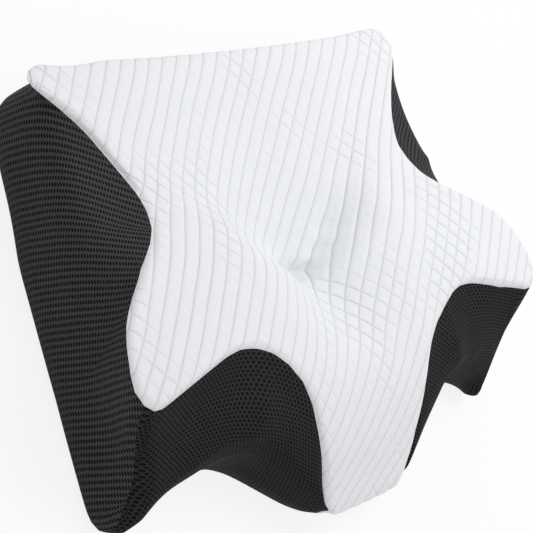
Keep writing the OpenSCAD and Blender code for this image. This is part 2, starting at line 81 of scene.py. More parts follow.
# where the whole pillow bulges or gives way: a place, its reach and how far it moves
SWELLINGS = (
    ((-0.245, 0.160, 0.055), (0.034, 0.042, 0.070), (-0.022, 0.014, 0.002)),
    ((-0.226, -0.121, 0.008), (0.030, 0.030, 0.030), (0, 0.008, 0)),
    ((-0.272, -0.132, 0.010), (0.022, 0.022, 0.030), (0, -0.005, 0)),
    ((0.238, 0.165, 0.045), (0.042, 0.042, 0.042), (0.010, 0.010, 0)),
    ((0.250, 0.145, 0.060), (0.042, 0.042, 0.030), (0.024, 0.004, 0)),
    ((0.280, -0.140, 0.030), (0.035, 0.040, 0.020), (-0.008, 0, 0)),
    ((-0.290, -0.110, 0.042), (0.045, 0.060, 0.026), (0.014, 0, 0)),
    ((0.290, -0.115, 0.045), (0.045, 0.060, 0.030), (-0.026, 0, 0)),
    ((-0.245, 0.165, 0.084), (0.036, 0.034, 0.040), (-0.008, -0.004, -0.004)),
    ((-0.200, 0.180, 0.085), (0.036, 0.030, 0.034), (0, -0.005, -0.002)),
    ((0.245, 0.168, 0.088), (0.040, 0.030, 0.034), (0.003, -0.004, -0.004)),
    ((0.285, -0.150, 0.008), (0.040, 0.050, 0.022), (-0.024, -0.012, 0)),
    ((-0.225, 0.112, 0.092), (0.032, 0.050, 0.025), (0.008, 0.003, 0)),
    ((0.185, 0.080, 0.088), (0.030, 0.045, 0.025), (0.004, 0, 0)),
    ((0.255, 0.090, 0.035), (0.040, 0.060, 0.040), (0.009, 0, 0)),
    ((0.299, -0.100, 0.088), (0.030, 0.035, 0.020), (0.005, -0.002, 0)),
    ((0.130, -0.070, 0.085), (0.035, 0.035, 0.025), (0.004, -0.006, 0)),
    ((-0.285, -0.060, 0.005), (0.060, 0.120, 0.030), (-0.003, 0, 0)),
)

# lengths are in metres
PANEL_DEPTH = 0.004  # a panel's inner face has the liner within this
TWIN_GAP, WELD, FINE_WELD = 2e-5, 1e-5, 1e-6  # faces or points no further apart than these are the same
JOIN_ANGLE = math.radians(70)  # triangles that meet at less than this become one face
MOST_CUTS = 80  # bands of faces that are cut
GRID, MARGIN = 0.003, 4  # the heights' grid, and its places round the top
RIM_REACH, RIM_START, RIM_SPAN = 0.009, 0.55, 0.4  # how the evening of the top fades out at its rim
SEAM_LIFT, SEAM_REACH = 0.004, 0.013
CLOTH_EVERY = 3  # the cloth is eased on every third place of the grid
FOLD_BACK, FOLD_LOBE = 0.03, 0.022  # where the top turns over, inwards from its back end and its lobe's tip
OPENING_FRONT, OPENING_BELOW, OPENING_ABOVE, OPENING_END = 0.005, 0.015, 0.003, 0.001  # round the zip's tape
BARE_FRONT, BARE_ROUND = 0.02, 0.012  # where no layer is tucked in, round the zip's tape
FOOT_BAND = 0.003  # a wall's foot is what lies within this of its lowest point
OPEN_END = 50  # how many of its own lengths the foot's first or last step runs on
SEAM_FADE = 0.004  # reach over which the quilting dies away at a seam


# ---- sizes and colours ----

class PillowShape(bpy.types.PropertyGroup):
    """Sizes of the pillow's soft surfaces"""

    longest_edge: bpy.props.FloatProperty(
        name="Longest Edge", description="Edges of the cover longer than this are cut before it is smoothed",
        default=0.03, min=0.01, subtype="DISTANCE", unit="LENGTH")
    quilt_edge: bpy.props.FloatProperty(
        name="Quilt Edge", description="Edges of the smoothed top longer than this are cut for its quilting",
        default=0.0028, min=0.001, subtype="DISTANCE", unit="LENGTH")
    settling: bpy.props.FloatProperty(
        name="Settling", description="Reach over which the foam evens out the top's heights",
        default=0.0065, min=0.001, subtype="DISTANCE", unit="LENGTH")
    seam_crease: bpy.props.FloatProperty(
        name="Seam Crease", description="How sharply the cover bends at its seams",
        default=0.55, min=0, max=1, subtype="FACTOR")
    easing: bpy.props.IntProperty(
        name="Easing", description="How many times the flat cloth gives towards its real lengths", default=400, min=0)
    tuck: bpy.props.FloatProperty(
        name="Tuck", description="How far the foam and the liner keep under the cover at least",
        default=0.003, min=0, unit="LENGTH")
    straightening: bpy.props.IntProperty(
        name="Straightening", description="Rounds in which the foot of a wall is straightened to lay its cloth",
        default=250, min=0)
    quilt_pitch: bpy.props.FloatProperty(
        name="Quilting Pitch", description="Distance between neighbouring stitch lines of the quilting",
        default=0.013, subtype="DISTANCE", unit="LENGTH")
    quilt_height: bpy.props.FloatProperty(
        name="Quilting Height", description="How far the quilting puffs out between its stitch lines",
        default=0.0007, subtype="DISTANCE", unit="LENGTH")
    line_sway: bpy.props.FloatProperty(
        name="Line Sway", description="How far the stitch lines stray from straight",
        default=0.0012, subtype="DISTANCE", unit="LENGTH")


class PillowFinish(bpy.types.PropertyGroup):
    """Colours of the pillow's fabrics and of its zip"""

    quilt: bpy.props.FloatVectorProperty(
        name="Quilt", description="Colour of the quilted knit", size=3, subtype="COLOR",
        default=(0.83, 0.845, 0.87), min=0, max=1)
    yarn: bpy.props.FloatVectorProperty(
        name="Mesh Yarn", description="Colour of the spacer mesh's yarn", size=3, subtype="COLOR",
        default=(0.033, 0.033, 0.035), min=0, max=1)
    # the holes' colour is partly the black yarn inside the mesh and partly painted shade between its two faces
    hole: bpy.props.FloatVectorProperty(
        name="Mesh Holes", description="Colour inside the spacer mesh's holes", size=3, subtype="COLOR",
        default=(0.002, 0.002, 0.0025), min=0, max=1)
    base: bpy.props.FloatVectorProperty(
        name="Base", description="Colour of the plain underside", size=3, subtype="COLOR",
        default=(0.018, 0.018, 0.02), min=0, max=1)
    foam: bpy.props.FloatVectorProperty(
        name="Foam", description="Colour of the memory foam", size=3, subtype="COLOR",
        default=(0.86, 0.8, 0.62), min=0, max=1)
    liner: bpy.props.FloatVectorProperty(
        name="Liner", description="Colour of the jersey liner", size=3, subtype="COLOR",
        default=(0.78, 0.78, 0.76), min=0, max=1)
    enamel: bpy.props.FloatVectorProperty(
        name="Zip Enamel", description="Colour of the zip's slider, pull and stops", size=3, subtype="COLOR",
        default=(0.02, 0.02, 0.022), min=0, max=1)


class PillowStage(bpy.types.PropertyGroup):
    """The camera, the lamps and the floor"""

    azimuth: bpy.props.FloatProperty(
        name="Azimuth", description="Direction the camera looks from, round the pillow",
        default=math.radians(-82.8), subtype="ANGLE", unit="ROTATION")
    elevation: bpy.props.FloatProperty(
        name="Elevation", description="Height of the camera above the floor, as an angle",
        default=math.radians(34.2), subtype="ANGLE", unit="ROTATION")
    roll: bpy.props.FloatProperty(
        name="Roll", description="Turn of the camera about its line of sight",
        default=math.radians(63.0), subtype="ANGLE", unit="ROTATION")
    distance: bpy.props.FloatProperty(
        name="Distance", description="Distance from the camera to the point it looks at",
        default=1.6039, subtype="DISTANCE", unit="LENGTH")
    target: bpy.props.FloatVectorProperty(
        name="Target", description="The point that the camera looks at", size=3,
        default=(-0.0302, 0.0082, 0.05), subtype="TRANSLATION", unit="LENGTH")
    lens: bpy.props.FloatProperty(
        name="Lens", description="Focal length of the camera", default=140.8, min=20, unit="CAMERA")
    key_strength: bpy.props.FloatProperty(
        name="Key Strength", description="Power of the main lamp, in watts", default=14.0, min=0)
    fill_share: bpy.props.FloatProperty(
        name="Fill Share", description="Power of the fill lamp, as a share of the main one's",
        default=0.06, min=0, subtype="FACTOR")
    sky_strength: bpy.props.FloatProperty(
        name="Sky Strength", description="Strength of the even light from all round", default=0.61, min=0)
    floor_white: bpy.props.FloatProperty(
        name="Floor White", description="How far the floor shows as plain white under its shadow",
        default=0.85, min=0, max=1, subtype="FACTOR")


def sizes():
    """The panel's sizes for this scene."""
    return bpy.context.scene.pillow_shape


def finishes():
    """The panel's colours for this scene."""
    return bpy.context.scene.pillow_finish


# ---- material maths ----

class Term:
    """A socket in a material's node tree, with Python's own operators for its maths."""

    def __init__(self, paint, socket):
        self.paint, self.socket = paint, socket

    def __add__(self, other):
        return self.paint.maths("ADD", self, other)

    def __radd__(self, other):
        return self.paint.maths("ADD", other, self)

    def __sub__(self, other):
        return self.paint.maths("SUBTRACT", self, other)

    def __rsub__(self, other):
        return self.paint.maths("SUBTRACT", other, self)

    def __mul__(self, other):
        return self.paint.maths("MULTIPLY", self, other)

    def __rmul__(self, other):
        return self.paint.maths("MULTIPLY", other, self)

    def __truediv__(self, other):
        return self.paint.maths("DIVIDE", self, other)

    def __pow__(self, other):
        return self.paint.maths("POWER", self, other)

    def __abs__(self):
        return self.paint.maths("ABSOLUTE", self)

    def floor(self):
        """The whole number at or below this one."""
        return self.paint.maths("FLOOR", self)

    def part(self):
        """What is left above the whole number."""
        return self.paint.maths("FRACT", self)

    def bell(self, width):
        """1 where this is 0, falling to nothing over a few widths."""
        return self.paint.maths("EXPONENT", (self / width) ** 2 * -1)

    def step(self, low, high):
        """0 below low, 1 above high, and smooth between them."""
        node = self.paint.node("ShaderNodeMapRange", {"interpolation_type": "SMOOTHSTEP"},
                               {"Value": self, "From Min": low, "From Max": high})
        return Term(self.paint, node.outputs["Result"])


class Paint:
    """One material's node tree, and the few ways in which nodes are added to it."""

    def __init__(self, name, roughness, sheen=0.0, gloss=0.5):
        self.material = bpy.data.materials.new(name)
        self.material.use_nodes = True
        self.tree = self.material.node_tree
        self.shader = self.tree.nodes["Principled BSDF"]
        for key, value in {"Roughness": roughness, "Specular IOR Level": gloss, "Sheen Weight": sheen,
                           "Sheen Roughness": 0.5}.items():
            self.shader.inputs[key].default_value = value

    def node(self, kind, settings=None, values=None):
        """Adds a node, sets it up, and then sets or links its inputs."""
        node = self.tree.nodes.new(kind)
        for key, value in (settings or {}).items():
            setattr(node, key, value)
        for key, value in (values or {}).items():
            self.feed(node.inputs[key], value)
        return node

    def feed(self, socket, value):
        """Links a term to a socket, or writes a plain value on it."""
        if isinstance(value, Term):
            self.tree.links.new(value.socket, socket)
        else:
            socket.default_value = value

    def maths(self, operation, *terms):
        """One step of arithmetic on numbers."""
        node = self.node("ShaderNodeMath", {"operation": operation}, dict(enumerate(terms)))
        return Term(self, node.outputs["Value"])

    def most(self, a, b):
        """The larger of two numbers."""
        return self.maths("MAXIMUM", a, b)

    def split(self, vector):
        """The three parts of a vector."""
        node = self.node("ShaderNodeSeparateXYZ", values={"Vector": vector})
        return [Term(self, out) for out in node.outputs]

    def join(self, x, y, z=0.0):
        """A vector from three numbers."""
        node = self.node("ShaderNodeCombineXYZ", values={"X": x, "Y": y, "Z": z})
        return Term(self, node.outputs["Vector"])

    def mix(self, share, a, b):
        """A colour between two colours."""
        node = self.node("ShaderNodeMix", {"data_type": "RGBA"})
        for key, value in ((0, share), (6, a), (7, b)):
            self.feed(node.inputs[key], value)
        return Term(self, node.outputs[2])

    def place(self):
        """The point of the object that is painted, in metres."""
        return Term(self, self.node("ShaderNodeTexCoord").outputs["Object"])

    def cloth(self):
        """The point of the flat cloth that is painted, in metres, from the piece's own map."""
        return Term(self, self.node("ShaderNodeUVMap", {"uv_map": "cloth"}).outputs["UV"])

    def seam(self, width):
        """1 at a seam of the cover, falling to nothing over a few widths."""
        distance = self.node("ShaderNodeAttribute", {"attribute_name": "seam_distance"})
        return Term(self, distance.outputs["Fac"]).bell(width)

    def grain(self, at, scale, detail=2.0, roughness=0.5):
        """Even noise from 0 to 1."""
        node = self.node("ShaderNodeTexNoise", values={
            "Vector": at, "Scale": scale, "Detail": detail, "Roughness": roughness})
        return Term(self, node.outputs[0])

    def cells(self, at, scale):
        """Distance to the nearest of many scattered points, in cells."""
        node = self.node("ShaderNodeTexVoronoi", values={"Vector": at, "Scale": scale})
        return Term(self, node.outputs["Distance"])

    def colour(self, value):
        """Sets the surface's colour."""
        self.feed(self.shader.inputs["Base Color"], value)

    def rough(self, value):
        """Sets the surface's roughness."""
        self.feed(self.shader.inputs["Roughness"], value)

    def relief(self, height, depth):
        """Raises the surface by height, from 0 to 1, times depth in metres."""
        node = self.node("ShaderNodeBump", values={"Height": height, "Distance": depth, "Strength": 1.0})
        self.tree.links.new(node.outputs["Normal"], self.shader.inputs["Normal"])


def tinted(colour, factor=1.0):
    """A colour made lighter or darker, with its alpha."""
    return (*(min(1.0, c * factor) for c in colour), 1.0)


def quilt_material():
    """White jersey quilted in squares on the bias. The lines one way are plain, and those the other way come and
    go, with fine knit and small puckers between them. Widths across the lines are shares of their pitch."""
    paint = Paint("quilted knit", roughness=0.85, sheen=0.1, gloss=0.3)
    colour, lines = finishes().quilt, math.sqrt(0.5) / sizes().quilt_pitch
    at = paint.cloth()
    x, y, _ = paint.split(at)
    across, along = (x - y) * lines, (x + y) * lines
    off_across, off_along = [abs((place + 0.5).part() - 0.5) for place in (across, along)]
    faint = 0.15 + 0.85 * paint.grain(at, scale=9.0, detail=1.0).step(low=0.48, high=0.66)
    stitch = paint.most(off_across.bell(width=0.045), off_along.bell(width=0.04) * faint)
    shoulder = paint.most(off_across.bell(width=0.18), off_along.bell(width=0.15) * faint)
    wide, narrow, reach = 1.2, 6.0, 0.3
    pucker = (paint.grain(paint.join(across * wide, along * narrow), scale=1.0) * off_across.bell(reach)
              + paint.grain(paint.join(across * narrow, along * wide), scale=1.0) * off_along.bell(reach))
    knit = paint.cells(at, scale=900.0)
    crumple = paint.grain(at, scale=130.0, detail=3.0, roughness=0.6)
    edge = paint.seam(width=0.0012)
    height = 0.6 - 0.4 * stitch - 0.4 * shoulder + 0.2 * pucker + 0.2 * crumple - 0.03 * knit - 0.4 * edge
    paint.relief(height, depth=0.0011)
    # the stitch lines are painted darker: painted shade in their grooves, on top of the relief
    shade = paint.maths("MINIMUM", 1.0, stitch * (0.05 + 0.5 * paint.grain(at, scale=60.0)))
    soft = paint.mix(paint.grain(at, scale=25.0), tinted(colour, 0.98), tinted(colour, 1.015))
    paint.colour(paint.mix(shade, soft, tinted(colour, 0.82)))
    return paint.material


def mesh_material(name, shine, across, along, hole):
    """Black spacer mesh: a lattice of holes that look in between its two faces, with raised yarns round them. The
    holes are painted near-black, partly for the black yarn inside the mesh and partly as painted shade between its
    two faces. Two steps, along the wall and up it, lead from hole to hole, and each hole has its half sizes."""
    paint = Paint(name, roughness=0.8, gloss=0.12)
    yarn, hole_yarn_and_shade = finishes().yarn, finishes().hole
    u, v, _ = paint.split(paint.cloth())
    wander = (paint.grain(paint.place(), scale=40.0, detail=1.0) - 0.5) * 0.001
    u, v = u + wander, v + wander
    area = across[0] * along[1] - across[1] * along[0]
    column = (u * along[1] - v * along[0]) / area
    row = (v * across[0] - u * across[1]) / area
    from_column, from_row = column.part() - 0.5, row.part() - 0.5
    off_u = (from_column * across[0] + from_row * along[0]) / hole[0]
    off_v = (from_column * across[1] + from_row * along[1]) / hole[1]
    open_part = 1.0 - (off_u ** 2 + off_v ** 2).step(low=0.7, high=1.3)
    fuzz = paint.grain(paint.place(), scale=1400.0)
    strand = paint.grain(paint.join(column * 2.0, row), scale=1.0)
    thread = paint.mix(strand, tinted(yarn, 0.55 * shine), tinted(yarn, 1.45 * shine))
    # holes take the near-black colour: black inner yarn with painted shade
    paint.colour(paint.mix(open_part, thread, tinted(hole_yarn_and_shade)))
    paint.rough(0.65 + 0.25 * fuzz)
    edge = paint.seam(width=0.0015)
    paint.relief(0.75 - 0.7 * open_part + 0.2 * fuzz - 0.4 * edge, depth=0.0008)
    return paint.material


def base_material():
    """Plain black warp knit: fine ribs with a little pilling."""
    paint = Paint("plain black knit", roughness=0.8, sheen=0.05, gloss=0.2)
    colour = finishes().base
    at = paint.place()
    x, y, _ = paint.split(at)
    ribs, wefts = x * 700.0, y * 500.0
    rib = abs(ribs.part() - 0.5) * 2.0
    weft = abs((wefts + 0.5 * ribs.floor()).part() - 0.5) * 2.0
    wear = paint.grain(at, scale=30.0, detail=3.0)
    paint.colour(paint.mix(wear, tinted(colour, 0.8), tinted(colour, 1.35)))
    paint.rough(0.72 + 0.2 * wear)
    paint.relief(0.5 * rib + 0.3 * weft + 0.2 * paint.grain(at, scale=900.0), depth=0.0003)
    return paint.material


def foam_material():
    """Moulded memory foam: tiny open cells under a faint skin."""
    paint = Paint("memory foam", roughness=0.9, sheen=0.2)
    colour = finishes().foam
    at = paint.place()
    pores = paint.cells(at, scale=700.0)
    paint.colour(paint.mix(paint.grain(at, scale=20.0), tinted(colour, 0.94), tinted(colour, 1.04)))
    paint.relief(pores + 0.3 * paint.grain(at, scale=200.0), depth=0.0003)
    return paint.material


def liner_material():
    """Thin pale jersey with fine wales."""
    paint = Paint("liner jersey", roughness=0.85, sheen=0.2)
    colour = finishes().liner
    at = paint.place()
    x, y, _ = paint.split(at)
    wale = abs((x * 900.0).part() - 0.5) * 2.0
    course = abs((y * 1100.0).part() - 0.5) * 2.0
    paint.colour(paint.mix(paint.grain(at, scale=40.0), tinted(colour, 0.95), tinted(colour, 1.03)))
    paint.relief(0.6 * wale + 0.4 * course, depth=0.0002)
    return paint.material


def tape_material():
    """Woven black tape with a herringbone rib."""
    paint = Paint("zip tape", roughness=0.7, sheen=0.15)
    colour = finishes().base
    x, _, z = paint.split(paint.place())
    zig = abs((z * 420.0).part() - 0.5)
    rib = abs((x * 900.0 + zig * 3.0).part() - 0.5) * 2.0
    # the colour follows the rib's height, darker in its grooves and lighter on its tops: painted shade and painted
    # highlight
    paint.colour(paint.mix(rib, tinted(colour, 0.7), tinted(colour, 1.5)))
    paint.relief(rib, depth=0.0002)
    return paint.material


def teeth_material():
    """Moulded black teeth, worn a little paler where the slider rubs them."""
    paint = Paint("zip teeth", roughness=0.35)
    colour = finishes().enamel
    wear = paint.grain(paint.place(), scale=350.0, detail=3.0)
    paint.colour(paint.mix(wear.step(low=0.45, high=0.75), tinted(colour, 1.1), tinted(colour, 2.4)))
    paint.rough(0.28 + 0.25 * wear)
    paint.relief(wear, depth=0.00005)
    return paint.material


def enamel_material():
    """Black enamel on die-cast metal, with faint orange peel and bare specks."""
    paint = Paint("zip enamel", roughness=0.3)
    paint.shader.inputs["Coat Weight"].default_value = 0.4
    colour, bare = finishes().enamel, (0.35, 0.35, 0.36)
    at = paint.place()
    peel = paint.grain(at, scale=1200.0)
    chips = paint.grain(at, scale=600.0, detail=4.0, roughness=0.7).step(low=0.68, high=0.74)
    paint.colour(paint.mix(chips, tinted(colour, 1.2), tinted(bare)))
    paint.rough(0.25 + 0.2 * peel)
    paint.relief(peel, depth=0.00004)
    return paint.material


def floor_material(white):
    """A pale floor that shows as white to the eye, with part of the shadow that falls on it."""
    paint = Paint("floor", roughness=0.5)
    paint.tree.nodes.remove(paint.shader)
    ray = paint.node("ShaderNodeLightPath").outputs
    seen = paint.most(Term(paint, ray["Is Camera Ray"]), Term(paint, ray["Is Glossy Ray"]))
    plain = paint.node("ShaderNodeBsdfDiffuse", values={"Color": (0.9, 0.9, 0.9, 1.0)})
    bright = paint.node("ShaderNodeEmission", values={"Strength": 1.0})
    shaders = [Term(paint, node.outputs[0]) for node in (plain, bright)]
    mixed = paint.node("ShaderNodeMixShader", values=dict(enumerate([seen * white, *shaders])))
    paint.tree.links.new(mixed.outputs[0], paint.tree.nodes["Material Output"].inputs["Surface"])
    return paint.material


# ---- meshes ----

def numbers(items, key, width):
    """One of the values of each item, as an array with a row for each."""
    values = np.zeros(len(items) * width, np.float32)
    items.foreach_get(key, values)
    return values.reshape(-1, width).astype(float)


def corners_of(mesh):
    """The point at each corner of the mesh's faces."""
    corners = np.zeros(len(mesh.loops), int)
    mesh.loops.foreach_get("vertex_index", corners)
    return corners


def move_points(mesh, points):
    """Puts the mesh's points at new places."""
    mesh.vertices.foreach_set("co", points.astype(np.float32).ravel())
    mesh.update()


def draw_cloth(mesh, flat):
    """Keeps the place of each point on its flat cloth as the mesh's map."""
    layer = mesh.uv_layers.new(name="cloth")
    layer.data.foreach_set("uv", flat[corners_of(mesh)].astype(np.float32).ravel())


def edge_counts(faces):
    """How many of these faces each edge has."""
    count = {}
    for face in faces:
        for key in face.edge_keys:
            count[key] = count.get(key, 0) + 1
    return count


def tree_of(mesh, faces):
    """A search tree over these faces of a mesh."""
    return BVHTree.FromPolygons([v.co for v in mesh.vertices], [list(f.vertices) for f in faces])


def joined(bm):
    """Joins a mesh's triangles into four-sided faces where they lie nearly flat."""
    bmesh.ops.join_triangles(
        bm, faces=bm.faces[:], cmp_materials=True, angle_face_threshold=JOIN_ANGLE, angle_shape_threshold=math.pi)


def mesh_of(bm, name):
    """A new mesh from a worked one, which is freed."""
    mesh = bpy.data.meshes.new(name)
    bm.to_mesh(mesh)
    bm.free()
    return mesh


def faces_of(mesh, *panels):
    """The faces of the cover that belong to these panels."""
    return [f for f in mesh.polygons if PANELS[f.material_index] in panels]


def points_of(mesh, *panels):
    """Which of the cover's points belong to these panels."""
    found = np.zeros(len(mesh.vertices), bool)
    for face in faces_of(mesh, *panels):
        found[list(face.vertices)] = True
    return found


def placed(data, name):
    """A new object for this mesh, lamp or camera, at the origin."""
    piece = bpy.data.objects.new(name, data)
    bpy.context.scene.collection.objects.link(piece)
    return piece


# ---- the cover's surface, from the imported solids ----

def outer_faces(inside):
    """The panels' faces that show from outside, merged into one surface. A panel's inner faces look at what lies
    inside within a few millimetres, and its cut edges lie against the next panel's."""
    solids = [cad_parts[name].data for name in PANELS]
    middles = KDTree(sum(len(solid.polygons) for solid in solids))
    for index, solid in enumerate(solids):
        for face in solid.polygons:
            middles.insert(face.center, index)
    middles.balance()
    whole = bmesh.new()
    for index, solid in enumerate(solids):
        part = bmesh.new()
        part.from_mesh(solid)
        part.normal_update()
        hidden = []
        for face in part.faces:
            middle = face.calc_center_median()
            face.material_index = index
            beyond = inside.ray_cast(middle, face.normal, PANEL_DEPTH)[0]
            twins = [i for _, i, _ in middles.find_range(middle, TWIN_GAP) if i != index]
            if beyond is not None or twins:
                hidden.append(face)
        bmesh.ops.delete(part, geom=hidden, context="FACES")
        shown = mesh_of(part, "shown")
        whole.from_mesh(shown)
        bpy.data.meshes.remove(shown)
    bmesh.ops.remove_doubles(whole, verts=whole.verts[:], dist=WELD)
    return whole


def band(edge):
    """The edges that lie across one band of four-sided faces, from this one to both ends."""
    found = {edge}
    for start in edge.link_loops:
        step = start
        while len(step.face.verts) == 4:
            step = step.link_loop_next.link_loop_next
            if step.edge in found:
                break
            found.add(step.edge)
            onward = [loop for loop in step.edge.link_loops if loop.face is not step.face]
            if len(onward) != 1:
                break
            step = onward[0]
    return found


def even_out(bm, longest):
    """Joins triangles into four-sided faces and cuts the bands whose edges are too long."""
    joined(bm)
    for _ in range(MOST_CUTS):
        long_edges = [e for e in bm.edges if e.calc_length() > longest
                      and any(len(f.verts) == 4 for f in e.link_faces)]
        if not long_edges:
            break
        widest = max(long_edges, key=lambda e: e.calc_length())
        bmesh.ops.subdivide_edges(bm, edges=list(band(widest)), cuts=1, use_grid_fill=True)


def divided(coarse, name):
    """A surface after one round of subdivision, as a new mesh. The old one is removed."""
    holder = placed(coarse, name)
    smoother = holder.modifiers.new("smooth", "SUBSURF")
    smoother.levels = smoother.render_levels = 1
    smoother.boundary_smooth = "PRESERVE_CORNERS"
    bpy.context.view_layer.update()
    fine = bpy.data.meshes.new_from_object(holder.evaluated_get(bpy.context.evaluated_depsgraph_get()))
    bpy.data.objects.remove(holder)
    bpy.data.meshes.remove(coarse)
    return fine


def creased(mesh):
    """Marks the cover's seams, which stay sharper than the rest when it is divided."""
    bm = bmesh.new()
    bm.from_mesh(mesh)
    crease = bm.edges.layers.float.get("crease_edge") or bm.edges.layers.float.new("crease_edge")
    for edge in bm.edges:
        panels = {f.material_index for f in edge.link_faces}
        edge[crease] = 1.0 if edge.is_boundary else sizes().seam_crease if len(panels) > 1 else 0.0
    bm.to_mesh(mesh)
    bm.free()
    return mesh


def bell(x, y, centre, reach):
    """1 at the centre, falling away over its reach."""
    return np.exp(-((x - centre[0]) / reach[0]) ** 2 - ((y - centre[1]) / reach[1]) ** 2)


def blurred(grid, reach):
    """A grid of numbers, each made the weighted mean of those within reach."""
    half = int(math.ceil(3 * reach / GRID))
    weights = np.exp(-0.5 * (np.arange(-half, half + 1) * GRID / reach) ** 2)
    weights /= weights.sum()
    for axis in (0, 1):
        grid = np.apply_along_axis(np.convolve, axis, grid, weights, "same")
    return grid


def between(grid, corner, points):
    """The grid's value at each point, even between its places."""
    place = np.clip((points[:, :2] - corner) / GRID, 0, np.array(grid.shape) - 1.001)
    i, j = place.astype(int).T
    u, v = (place - np.floor(place)).T
    return ((1 - u) * (1 - v) * grid[i, j] + u * (1 - v) * grid[i + 1, j]
            + (1 - u) * v * grid[i, j + 1] + u * v * grid[i + 1, j + 1])


class Settling:
    """How the soft pillow lies: its top's heights evened out, with the hollows that the foam has, and its walls
    bulged or drawn in. The cover, the liner and the foam all follow it."""

    def __init__(self, mesh):
        tree = tree_of(mesh, faces_of(mesh, TOP))
        low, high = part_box(TOP)
        self.corner = np.array([low.x, low.y]) - MARGIN * GRID
        count = [int((high[k] - low[k]) / GRID) + 2 * MARGIN + 1 for k in (0, 1)]
        x, y = [self.corner[k] + GRID * np.arange(count[k]) for k in (0, 1)]
        heights = np.zeros(count)
        for i in range(count[0]):
            for j in range(count[1]):
                hit = tree.ray_cast(Vector((x[i], y[j], 1.0)), Vector((0, 0, -1)))[0]
                heights[i, j] = hit.z if hit else 0
        inside = (heights > 0).astype(float)
        x, y = np.meshgrid(x, y, indexing="ij")
        target = heights + sum(rise * bell(x, y, centre, reach) for centre, reach, rise in WELLS)
        share = blurred(inside, sizes().settling)
        even = blurred(target * inside, sizes().settling) / np.maximum(share, 1e-6)
        fade = np.clip((blurred(inside, RIM_REACH) - RIM_START) / RIM_SPAN, 0, 1)
        self.even = np.where(share > 1e-3, even, high.z)
        self.heights = np.where(inside > 0, heights, high.z)
        self.fade = fade * fade * (3 - 2 * fade) * inside

    def apply(self, points, on_top=None):
        """The points after settling. Of the cover, the top's own points take the even heights. All points of a
        hidden layer follow by their share of the height."""
        fade = between(self.fade, self.corner, points)
        even = between(self.even, self.corner, points)
        heights = between(self.heights, self.corner, points)
        moved, height = points.copy(), points[:, 2]
        share = np.clip(height / heights, 0, 1)
        if on_top is None:
            moved[:, 2] = height + (even - heights) * fade * share
        else:
            moved[:, 2] = np.where(on_top, height * (1 - fade) + even * fade, height)
        drawn = fade * share ** 3
        for centre, reach, depth in PINCHES:
            moved[:, 2] -= depth * bell(points[:, 0], points[:, 1], centre, reach) * drawn
        for centre, reach, move in SWELLINGS:
            near = np.exp(-(((points - np.array(centre)) / np.array(reach)) ** 2).sum(axis=1))
            moved += near[:, None] * np.array(move)
        return moved


def settle(mesh, settling, on_top=None):
    """Moves a mesh's points as the pillow settles."""
    move_points(mesh, settling.apply(numbers(mesh.vertices, "co", 3), on_top))
    return mesh


def eased_cloth(settling):
    """How far each place of the top lies from its place on flat cloth, once the cloth has given until its threads
    are about as long there as on the pillow. It is worked out on a coarse grid, and spread beyond the top."""
    coarse = slice(None, None, CLOTH_EVERY)
    overshoot, faintest, spread_rounds = 1.3, 0.02, 60
    heights, inside = settling.even[coarse, coarse], settling.fade[coarse, coarse] > faintest
    steps = [CLOTH_EVERY * GRID * np.arange(n) for n in heights.shape]
    start = np.stack(np.meshgrid(*steps, indexing="ij"), axis=-1)
    flat = start.copy()
    threads = []
    for i, j in ((1, 0), (0, 1), (1, 1), (1, -1)):
        near = (slice(None, heights.shape[0] - i), slice(max(0, -j), heights.shape[1] - max(0, j)))
        far = (slice(i, None), slice(max(0, j), heights.shape[1] + min(0, j)))
        real = np.sqrt(((start[far] - start[near]) ** 2).sum(axis=-1) + (heights[far] - heights[near]) ** 2)
        threads.append((near, far, real, (inside[near] & inside[far]).astype(float)))
    for _ in range(sizes().easing):
        moved, count = np.zeros_like(flat), np.full(heights.shape, 1e-6)
        for near, far, real, held in threads:
            step = flat[far] - flat[near]
            drawn = np.linalg.norm(step, axis=-1)
            pull = step * (0.5 * held * (drawn - real) / drawn)[..., None]
            moved[near] += pull
            moved[far] -= pull
            count[near] += held
            count[far] += held
        flat += overshoot * moved / np.maximum(count, 1)[..., None]
    shift = flat - start
    shift -= shift[inside].mean(axis=0)
    for _ in range(spread_rounds):
        spread = sum(np.roll(shift * inside[..., None], k, axis) for axis in (0, 1) for k in (-1, 1))
        count = sum(np.roll(inside.astype(float), k, axis) for axis in (0, 1) for k in (-1, 1))
        fresh = ~inside & (count > 0)
        shift[fresh] = spread[fresh] / count[fresh][:, None]
        inside = inside | fresh
    return shift


def flatten_top(mesh, settling):
    """Draws the top panel on flat cloth, in metres: straight down on the top itself, unrolled where it is folded
    over the back edge and the lobe's tip, and eased."""
    points = numbers(mesh.vertices, "co", 3)
    low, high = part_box(TOP)
    flat = points[:, :2].copy()
    for fold, way in ((high.y - FOLD_BACK, 1), (low.y + FOLD_LOBE, -1)):
        over = (points[:, 1] - fold) * way > 0
        at_fold = np.column_stack([points[over, 0], np.full(over.sum(), fold)])
        drop = np.maximum(0, between(settling.even, settling.corner, at_fold) - points[over, 2])
        flat[over, 1] = fold + way * np.hypot(points[over, 1] - fold, drop)
    shift = eased_cloth(settling)
    coarse = settling.corner + (points[:, :2] - settling.corner) / CLOTH_EVERY
    for k in (0, 1):
        flat[:, k] += between(shift[..., k], settling.corner, coarse)
    draw_cloth(mesh, flat)
    return mesh


def lift_seams(mesh):
    """Raises the cover's edge all round the top, where the cloth is pulled taut to its seam."""
    seam = np.flatnonzero(points_of(mesh, TOP) & points_of(mesh, *PANELS[1:]))
    tree = KDTree(len(seam))
    for i in seam:
        tree.insert(mesh.vertices[i].co, i)
    tree.balance()
    for v in mesh.vertices:
        v.co.z += SEAM_LIFT * math.exp(-(tree.find(v.co)[2] / SEAM_REACH) ** 2)


